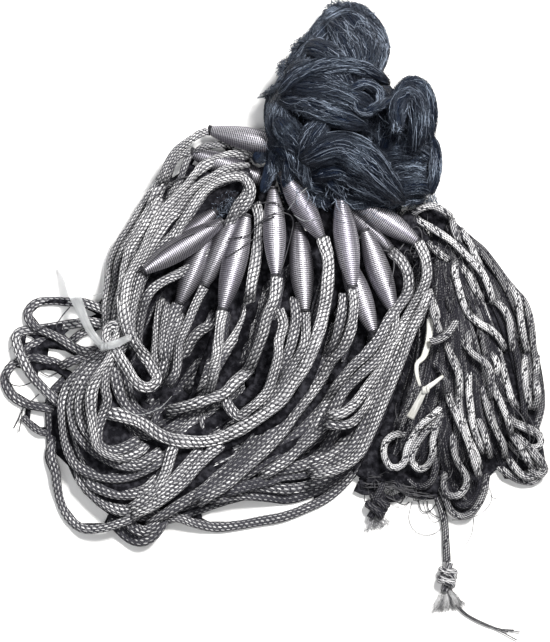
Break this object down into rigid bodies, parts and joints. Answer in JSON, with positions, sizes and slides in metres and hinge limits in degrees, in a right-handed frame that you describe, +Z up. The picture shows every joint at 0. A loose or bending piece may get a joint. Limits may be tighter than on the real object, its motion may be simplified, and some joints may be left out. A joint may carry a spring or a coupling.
{
  "type": "fishing net",
  "caption": "Set gillnet gathered into a bundle: a hank of navy monofilament netting, a coiled float line with spindle floats, a coiled lead line and plastic ties.",
  "frame": {"origin": "middle of the bundle's plan, on the surface that it lies on", "axes": "+Z up, +Y towards the netting hank, +X towards the lead line coil"},
  "size_m": [0.398, 0.444, 0.0723],
  "materials": {
    "float_line_braid": "flattened hollow braid, mid grey with white flecks",
    "lead_line_braid": "thin round braid, light grey with a black tracer",
    "monofilament": "fine navy nylon monofilament, glossy, in frizzy bundles",
    "float_cover": "fine braid stretched over a spindle float, silver grey, with a pale stripe",
    "tie_plastic": "translucent white plastic strip"
  },
  "bodies": {
    "root": {"float_01": "float_cover", "float_02": "float_cover", "float_03": "float_cover", "float_04": "float_cover", "float_05": "float_cover", "float_06": "float_cover", "float_07": "float_cover", "float_08": "float_cover", "float_09": "float_cover", "float_10": "float_cover", "float_11": "float_cover", "float_12": "float_cover", "float_13": "float_cover", "float_14": "float_cover", "float_15": "float_cover", "float_line_bight": "float_line_braid", "float_line_coil": "float_line_braid", "frayed_knot": "lead_line_braid", "knot_tuft": "lead_line_braid", "lead_line_coil": "lead_line_braid", "lead_line_cut_end": "lead_line_braid", "lead_line_tail": "lead_line_braid", "netting_hank": "monofilament", "tail_knot": "lead_line_braid", "tail_tuft": "lead_line_braid", "tie_left": "tie_plastic", "tie_right": "tie_plastic"}
  },
  "joints": []
}
